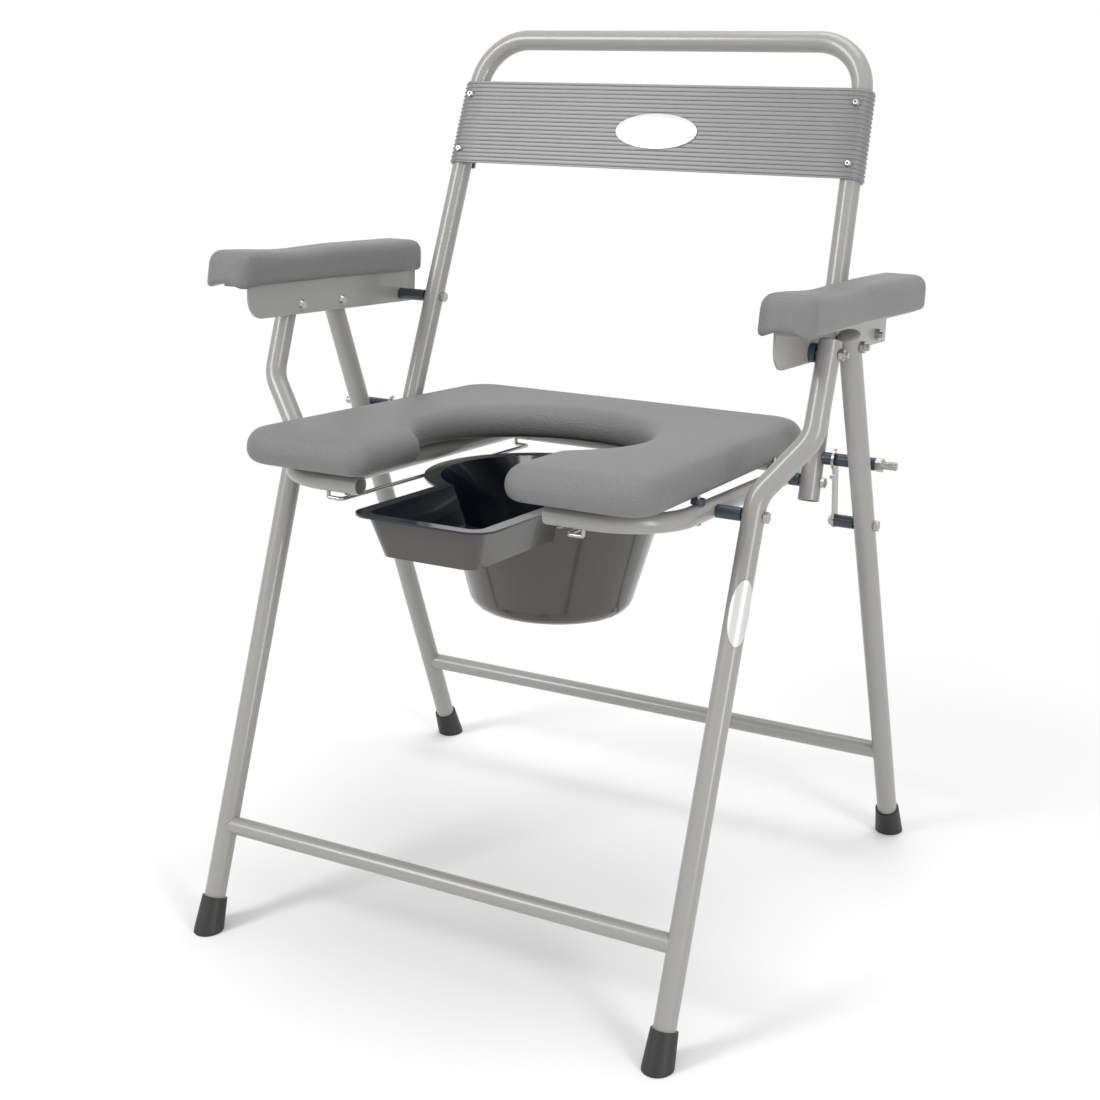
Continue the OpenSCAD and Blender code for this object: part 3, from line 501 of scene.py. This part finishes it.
def add_seat_pad():
    """The moulded horseshoe: thick round edges and a low crown."""
    low, high = corners_on_link("seat_pad", SEAT_FRONT)
    thickness = high.z - low.z
    arcs = seat_pad_arcs(low.y, high.y)
    pad = padded_slab("seat_pad_foam", arcs, thickness - SEAT_CROWN, SEAT_LOW_EDGE, SEAT_TOP_EDGE, SEAT_SKIN)
    distance = edge_distance(arcs)
    for vertex in pad.data.vertices:
        share = max(0.0, vertex.co.z / thickness - SEAT_CROWN_FROM) / (1.0 - SEAT_CROWN_FROM)
        inside = 1.0 - math.exp(-distance(vertex.co.x, vertex.co.y) / SEAT_CROWN_RUN)
        vertex.co.z += SEAT_CROWN * share * inside
    place_pad(pad, on_link(SEAT_FRONT) @ Matrix.Translation((0.0, 0.0, low.z)), "seat", "seat_pad")


# ---------------------------------------------------------------- arm pads

ARM_NOSE_RADIUS = 17 * MM
ARM_TAIL_RADIUS = 12 * MM
ARM_LOW_EDGE = 4 * MM
ARM_TOP_EDGE = 12 * MM
ARM_SKIN = 2.5 * MM
ARM_WAIST = 3.5 * MM
NOSE_RUN = 45 * MM
NOSE_DROOP = 6 * MM
NOSE_LEAN = 7 * MM
NOSE_ARCH = 0.35
NOSE_SPREAD = 1.5
TOP_DIP = 3 * MM
TOP_DIP_AT = 110 * MM
TOP_DIP_RUN = 55 * MM


def arm_pad_arcs(half, front, rear):
    third = (rear - front) / 3.0
    middle = (front + rear) / 2.0
    radius = (third ** 2 + ARM_WAIST ** 2) / (2 * ARM_WAIST)
    turn = math.degrees(math.asin(third / radius))
    nose, tail = ARM_NOSE_RADIUS, ARM_TAIL_RADIUS
    return [
        ((-half + nose, front + nose), nose, 180, 270),
        ((half - nose, front + nose), nose, 270, 360),
        ((half - ARM_WAIST + radius, middle), radius, 180 + turn, 180 - turn),
        ((half - tail, rear - tail), tail, 0, 90),
        ((-half + tail, rear - tail), tail, 90, 180),
        ((-half + ARM_WAIST - radius, middle), radius, turn, -turn),
    ]


def ease(value):
    value = min(1.0, max(0.0, value))
    return value * value * (3.0 - 2.0 * value)


def add_arm_pad(side):
    """One arm pad: its front corners droop, the edge between them arches up, and its top dips."""
    node = "arm_pad_" + side
    low, high = corners_on_link(node, ARM_FRONT)
    middle = Vector(((low.x + high.x) / 2.0, 0.0, low.z))
    half, thickness = (high.x - low.x) / 2.0, high.z - low.z
    arcs = arm_pad_arcs(half, low.y, high.y)
    pad = padded_slab(node + "_foam", arcs, thickness, ARM_LOW_EDGE, ARM_TOP_EDGE, ARM_SKIN)
    for vertex in pad.data.vertices:
        x, y, z = vertex.co
        height = z / thickness
        from_nose = y - low.y
        nose = 1.0 - ease(from_nose / NOSE_RUN)
        corner = ease(abs(x) / half * NOSE_SPREAD - NOSE_ARCH) - NOSE_ARCH
        vertex.co.z -= nose * (1.0 - height) * NOSE_DROOP * corner
        vertex.co.y += nose * height * NOSE_LEAN
        dip = math.exp(-(((from_nose - TOP_DIP_AT) / TOP_DIP_RUN) ** 2))
        vertex.co.z -= height * TOP_DIP * dip
    place_pad(pad, on_link(ARM_FRONT) @ Matrix.Translation(middle), "arms", node)


# ---------------------------------------------------------------- back strap

TUBE_RADIUS = 11 * MM
BACK_HALF_LOW = 248.6 * MM
BACK_TAIL = 20 * MM
BACK_SLOPE = 20.0 / 481.0  # how fast the tubes close in upwards
STRAP_REACH = extent(node_points("back_strap", BACK_FRAME), 1)
STRAP_AT = sum(STRAP_REACH) / 2.0
STRAP_HEIGHT = STRAP_REACH[1] - STRAP_REACH[0]
STRAP_GAP = 0.3 * MM
STRAP_THICK = 2.4 * MM
STRAP_TURN_BACK = 9 * MM
RIB_COUNT = 20
RIB_HEIGHT = 1.1 * MM
RIB_SHARE = 0.36  # of the ribs' spacing
ROWS_PER_RIB = 14
WRAP_STEPS = 12
FACE_STEPS = 24


def back_half(up):
    """Half spacing of the backrest tubes at a distance up from the seat pivot."""
    return BACK_HALF_LOW - BACK_SLOPE * (up + BACK_TAIL)


def strap_path(half):
    """(x, forward, outward x, outward forward) along the inside of the strap, left tail to right tail."""
    radius = TUBE_RADIUS + STRAP_GAP
    left = [(-half + STRAP_TURN_BACK * share, -radius, 0.0, -1.0) for share in (1.0, 0.5)]
    for i in range(WRAP_STEPS + 1):
        angle = math.radians(270.0 - 180.0 / WRAP_STEPS * i)
        out_x, out_forward = math.cos(angle), math.sin(angle)
        left.append((-half + radius * out_x, radius * out_forward, out_x, out_forward))
    front = [(-half + 2 * half * i / FACE_STEPS, radius, 0.0, 1.0) for i in range(1, FACE_STEPS)]
    right = [(-x, forward, -out_x, out_forward) for x, forward, out_x, out_forward in reversed(left)]
    return left + front + right


def rib(part):
    """Height at a share of the way up the strap: narrow round ribs on a flat band."""
    from_rib = abs((part * RIB_COUNT) % 1.0 - 0.5) / (RIB_SHARE / 2.0)
    return RIB_HEIGHT * math.sqrt(max(0.0, 1.0 - from_rib ** 2))


def strap_points(rows):
    """The strap's plain inside and its ribbed outside, a row of points for each step up."""
    inner, outer = [], []
    for row in range(rows + 1):
        part = row / rows
        up = STRAP_AT + STRAP_HEIGHT * (part - 0.5)
        swell = STRAP_THICK + rib(part)
        for x, forward, out_x, out_forward in strap_path(back_half(up)):
            inner.append((x, up, forward))
            outer.append((x + swell * out_x, up, forward + swell * out_forward))
    return inner, outer


def strap_faces(rows, columns):
    """Inside, outside, lower and upper edge, and both ends of the strap."""
    shift = (rows + 1) * columns
    faces = []
    for row in range(rows):
        for column in range(columns - 1):
            a = row * columns + column
            b, c, d = a + 1, a + columns + 1, a + columns
            faces += [(a, b, c, d), (shift + d, shift + c, shift + b, shift + a)]
    for column in range(columns - 1):
        low, top = column, rows * columns + column
        faces.append((low + 1, low, shift + low, shift + low + 1))
        faces.append((top, top + 1, shift + top + 1, shift + top))
    for row in range(rows):
        left, right = row * columns, row * columns + columns - 1
        faces.append((left, left + columns, shift + left + columns, shift + left))
        faces.append((right + columns, right, shift + right, shift + right + columns))
    return faces


def add_strap():
    rows = RIB_COUNT * ROWS_PER_RIB
    inner, outer = strap_points(rows)
    columns = len(inner) // (rows + 1)
    strap = mesh_object("back_strap_ribbed", inner + outer, strap_faces(rows, columns))
    strap.data.transform(BACK_FRAME)
    fix_normals(strap)
    smooth_by_angle(strap, 50.0)
    dress(strap, finishes["strap_grey"])
    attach(strap, "backrest")
    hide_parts("back_strap")


# ---------------------------------------------------------------- blank plates

BADGE_SIZE = (97 * MM, 39 * MM)
BADGE_AT = (11.5 * MM, STRAP_AT - 5 * MM)
BADGE_LIFT = 0.3 * MM
BADGE_DOME = 1.2 * MM
PLATE_THICK = 0.8 * MM
LEG_PLATE_SIZE = (22 * MM, 62 * MM)
LEG_PLATE_UP = 423 * MM
LEG_PLATE_TURN = math.radians(40.0)
LEG_PLATE_LIFT = 0.9 * MM
FRONT_LEG_X = 262 * MM


def oval_plate(name, size, place_of):
    """A thin oval plate; place_of gives the point of its face at (across, up, share from the middle)."""
    steps, rings = 64, 8
    points = [place_of(0.0, 0.0, 0.0)]
    for ring in range(1, rings + 1):
        share = ring / rings
        for angle in circle(steps):
            across = share * size[0] / 2 * math.cos(angle)
            up = share * size[1] / 2 * math.sin(angle)
            points.append(place_of(across, up, share))
    plate = mesh_object(name, points, cap(rings, steps))
    solid = plate.modifiers.new("thick", "SOLIDIFY")
    solid.thickness = PLATE_THICK
    solid.offset = -1.0
    apply_modifiers(plate)
    smooth_by_angle(plate, 40.0)
    dress(plate, finishes["plate_white"])
    return plate


def add_strap_plate():
    """A bare oval metal plate, slightly domed, on the ribs in the middle of the strap."""
    base = TUBE_RADIUS + STRAP_GAP + STRAP_THICK + RIB_HEIGHT + BADGE_LIFT

    def place_of(across, up, share):
        lift = BADGE_DOME * (1.0 - share ** 3)
        return BACK_FRAME @ Vector((BADGE_AT[0] + across, BADGE_AT[1] + up, base + lift))

    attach(oval_plate("strap_plate_blank", BADGE_SIZE, place_of), "backrest")


def add_leg_plate():
    """A bare oval plate bent round the right front leg."""
    leg_up = (ARM_FRONT - SEAT_FRONT).normalized()
    foot = SEAT_FRONT - leg_up * (SEAT_FRONT.z / leg_up.z)
    leg_forward = Vector((0.0, -leg_up.z, leg_up.y))
    axis = Vector((FRONT_LEG_X, foot.y, foot.z))

    def place_of(across, up, share):
        turn = LEG_PLATE_TURN + across / TUBE_RADIUS
        out = Vector((math.sin(turn), 0.0, 0.0)) + leg_forward * math.cos(turn)
        return axis + leg_up * (LEG_PLATE_UP + up) + out * (TUBE_RADIUS + LEG_PLATE_LIFT)

    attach(oval_plate("leg_plate_blank", LEG_PLATE_SIZE, place_of), "front_frame")


# ---------------------------------------------------------------- welds

WELD_RADIUS = 1.7 * MM
WELD_INSET = 2.2 * MM
WELD_SINK = 0.1 * MM
WELD_STEPS = 72
WELD_SIDES = 10


def weld_lump(angle):
    """Thickness of the bead round the bar: a coarse and a fine wave, as hand welding leaves."""
    return WELD_RADIUS * (1.0 + 0.16 * math.sin(9 * angle) + 0.09 * math.sin(23 * angle + 1.0))


def add_weld(name, body, middle, bar_radius, inward):
    """A lumpy bead round a crossbar where it meets its leg."""
    along = Vector((inward, 0.0, 0.0))
    points, faces = [], []
    for i, angle in enumerate(circle(WELD_STEPS)):
        out = Vector((0.0, math.cos(angle), math.sin(angle)))
        beside = bar_radius * math.cos(angle)
        saddle = TUBE_RADIUS - math.sqrt(max(0.0, TUBE_RADIUS ** 2 - beside ** 2))
        ring_at = middle + out * (bar_radius - WELD_SINK) - along * saddle
        for turn in circle(WELD_SIDES):
            across = out * math.cos(turn) + Vector((math.sin(turn), 0.0, 0.0))
            points.append(ring_at + across * weld_lump(angle))
        near, far = i * WELD_SIDES, ((i + 1) % WELD_STEPS) * WELD_SIDES
        faces += band(near, far, WELD_SIDES, turned=True)
    weld = mesh_object(name, points, faces)
    fix_normals(weld)
    smooth(weld)
    dress(weld, finishes["frame_paint"])
    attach(weld, body)


def add_welds():
    for bar, body in (("front_crossbar", "front_frame"), ("rear_crossbar", "rear_frame")):
        low, high = zip(*(extent(node_points(bar), axis) for axis in range(3)))
        radius = (high[2] - low[2]) / 2.0
        for side, x in (("left", low[0]), ("right", high[0])):
            inward = -math.copysign(1.0, x)
            middle = Vector((x + inward * WELD_INSET, (low[1] + high[1]) / 2.0, (low[2] + high[2]) / 2.0))
            add_weld(bar + "_weld_" + side, body, middle, radius, inward)


# ---------------------------------------------------------------- screw threads

THREADED = (  # bolts, nuts, body, bolt radius
    ("arm_front_bolts", "arm_front_nuts", "arms", 3 * MM),
    ("arm_rear_bolts", "arm_rear_nuts", "arms", 3 * MM),
    ("back_pivot_bolts", "back_pivot_nuts", "arms", 3 * MM),
    ("seat_front_bolts", "seat_front_nuts", "seat", 3 * MM),
    ("seat_rear_bolts", "seat_rear_nuts", "seat", 3 * MM),
    ("lock_rods", "lock_rod_nuts", "backrest", 4 * MM),
    ("hook_studs", "hook_stud_nuts", "rear_frame", 3 * MM),
)
THREAD_PITCH = 0.33  # of the bolt's radius
THREAD_SIDES = 24
THREAD_ROWS = 6  # of points a turn
THREAD_LEAST = 0.8 * MM
THREAD_END = 0.3 * MM
THREAD_SKIN = 0.04 * MM


def thread_crest(phase, radius):
    """Radius of the thread at a share of its pitch: a sharp ridge, never inside the bolt."""
    ridge = THREAD_PITCH * radius * (0.22 - 0.5 * abs(2 * phase - 1.0))
    return radius + max(ridge, THREAD_SKIN)


def add_thread(name, body, start, end, radius):
    """A screw thread along x from start to end."""
    turns = max(1, round(abs(end.x - start.x) / (THREAD_PITCH * radius)))
    rows = turns * THREAD_ROWS
    points, faces = [], []
    for row in range(rows + 1):
        x = start.x + (end.x - start.x) * row / rows
        for i, angle in enumerate(circle(THREAD_SIDES)):
            crest = thread_crest((row / THREAD_ROWS + i / THREAD_SIDES) % 1.0, radius)
            points.append((x, start.y + crest * math.cos(angle), start.z + crest * math.sin(angle)))
    for row in range(rows):
        faces += band(row * THREAD_SIDES, (row + 1) * THREAD_SIDES, THREAD_SIDES)
    thread = mesh_object(name, points, faces)
    fix_normals(thread)
    smooth_by_angle(thread, 50.0)
    dress(thread, finishes["zinc"])
    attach(thread, body)


def bare_end(bolt, nut):
    """Where the bolt comes out of its nut and where it ends, as x values."""
    (bolt_low, bolt_high), (nut_low, nut_high) = extent(bolt, 0), extent(nut, 0)
    ends = [(bolt_high - nut_high, nut_high, bolt_high), (nut_low - bolt_low, nut_low, bolt_low)]
    return min(end for end in ends if end[0] > THREAD_LEAST)[1:]


def add_threads():
    """Threads on every bolt, rod and stud where it stands out past its nut."""
    for bolts, nuts, body, radius in THREADED:
        for side, sign in SIDES:
            nut = [point for point in node_points(nuts) if point.x * sign > 0]
            bolt = [point for point in node_points(bolts) if point.x * sign > 0]
            start_x, end_x = bare_end(bolt, nut)
            y, z = sum(extent(nut, 1)) / 2.0, sum(extent(nut, 2)) / 2.0
            start = Vector((start_x, y, z))
            end = Vector((end_x - math.copysign(THREAD_END, end_x - start_x), y, z))
            add_thread(bolts + "_thread_" + side, body, start, end, radius)


# ---------------------------------------------------------------- strap fixings

# The dark discs on the strap fixings are painted shade for their hollows.
HOLLOW_RADIUS = 1.3 * MM
HOLLOW_DEPTH = 0.3 * MM
HOLLOW_LIFT = 0.06 * MM
HOLLOW_STEPS = 20
FIXING_SHARE = 0.34  # of the strap's height, from its middle


def add_hollow(name, x, up, face):
    """A dark disc in the middle of a strap fixing: painted shade standing in for its hollow."""
    points = []
    for forward in (face - HOLLOW_DEPTH, face + HOLLOW_LIFT):
        points += [(x + HOLLOW_RADIUS * math.cos(angle), up + HOLLOW_RADIUS * math.sin(angle), forward)
                   for angle in circle(HOLLOW_STEPS)]
    faces = band(0, HOLLOW_STEPS, HOLLOW_STEPS)
    faces += [tuple(reversed(range(HOLLOW_STEPS))), tuple(range(HOLLOW_STEPS, 2 * HOLLOW_STEPS))]
    hollow = mesh_object(name, points, faces)
    hollow.data.transform(BACK_FRAME)
    dress(hollow, finishes["rivet_hole"])
    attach(hollow, "backrest")


def add_hollows():
    face = extent(node_points("strap_screws", BACK_FRAME), 2)[1]
    for row, share in (("low", -FIXING_SHARE), ("top", FIXING_SHARE)):
        up = STRAP_AT + share * STRAP_HEIGHT
        for side, sign in SIDES:
            add_hollow("strap_fixing_hollow_" + row + "_" + side, sign * back_half(up), up, face)


# ---------------------------------------------------------------- leg plugs

PLUG_STEPS = 40
PLUG_TOP = 2.2 * MM
PLUG_PROFILE = (  # share of the tube's radius, height over the tube's end
    (0.45, 2.1 * MM), (0.75, 1.6 * MM), (0.92, 0.9 * MM), (0.97, 0.15 * MM), (0.88, 0.05 * MM), (0.86, -6 * MM),
)


def add_leg_plug(name, body, node, foot, pivot):
    """A low domed plug in the open top of a leg."""
    up = (pivot - foot).normalized()
    ahead = Vector((0.0, -up.z, up.y))
    across = Vector((1.0, 0.0, 0.0))
    leg_x = sum(extent([point for point in node_points(node) if point.z > pivot.z], 0)) / 2.0
    base = Vector((leg_x, pivot.y, pivot.z))
    top = max((point - base).dot(up) for point in node_points(node))
    points = [base + up * (top + PLUG_TOP)]
    for share, height in PLUG_PROFILE:
        for angle in circle(PLUG_STEPS):
            out = ahead * math.cos(angle) + across * math.sin(angle)
            points.append(base + up * (top + height) + out * share * TUBE_RADIUS)
    faces = cap(len(PLUG_PROFILE), PLUG_STEPS)
    faces.append(tuple(range(len(points) - PLUG_STEPS, len(points))))
    plug = mesh_object(name, points, faces)
    fix_normals(plug)
    smooth_by_angle(plug, 40.0)
    dress(plug, finishes["frame_paint"])
    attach(plug, body)


def add_leg_plugs():
    for side, _ in SIDES:
        for leg, joint in (("rear", "rear_leg_fold"), ("front", "fold")):
            foot = Vector(MOUNTS[leg + "_foot_" + side + "_floor"]["pos_m"])
            pivot = joint_place(joint)
            pivot.x = foot.x
            add_leg_plug(leg + "_leg_plug_" + side, leg + "_frame", leg + "_leg_" + side, foot, pivot)


# ---------------------------------------------------------------- building

finishes = make_finishes()
add_camera()
add_studio()
for node_name, node_object in frame["nodes"].items():
    dress(node_object, finishes[SLOT_OF[node_name]])
add_seat_pad()
for side, _ in SIDES:
    add_arm_pad(side)
add_strap()
add_strap_plate()
add_leg_plate()
add_welds()
add_threads()
add_hollows()
add_leg_plugs()
